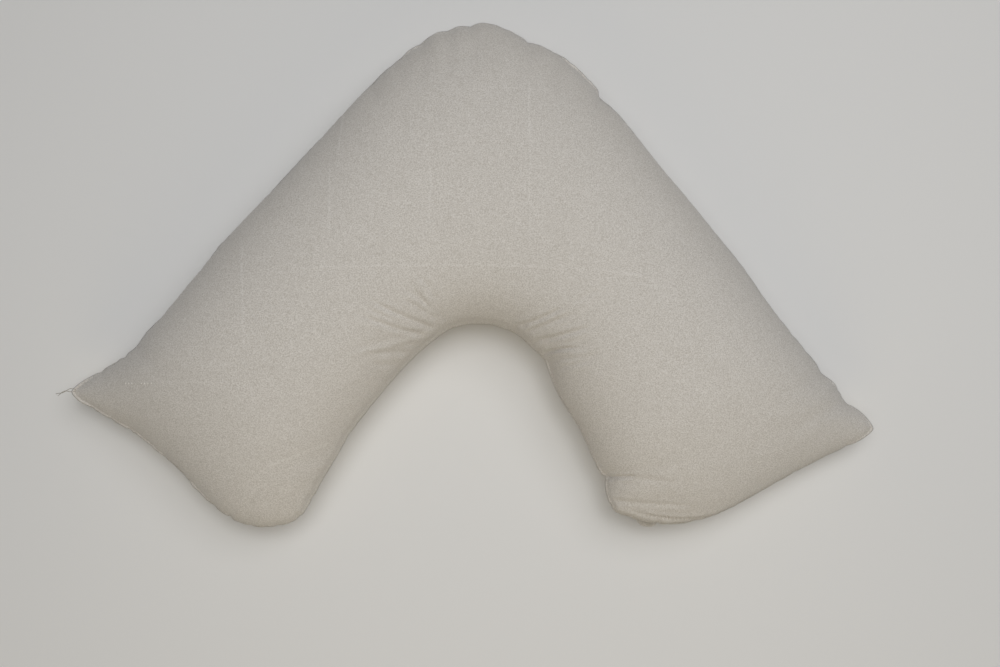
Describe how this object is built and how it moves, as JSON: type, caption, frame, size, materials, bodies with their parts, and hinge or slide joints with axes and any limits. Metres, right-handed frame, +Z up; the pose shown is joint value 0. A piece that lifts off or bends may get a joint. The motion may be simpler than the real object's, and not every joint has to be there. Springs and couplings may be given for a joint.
{
  "type": "v shaped pillow",
  "caption": "Filled cotton cushion in a wide V, sewn all round at mid height, with two arms that end in pointed corners and a rounded inner curve.",
  "frame": {"origin": "on the resting surface, under the middle of the cushion's box", "axes": "+X from the left tip to the right tip seen from above with the point of the V away, +Y towards the point of the V, +Z up out of the face"},
  "size_m": [0.93, 0.588, 0.1692],
  "materials": {
    "cotton": "matt off-white woven cotton"
  },
  "bodies": {
    "root": {"pillow": "cotton"}
  },
  "joints": []
}
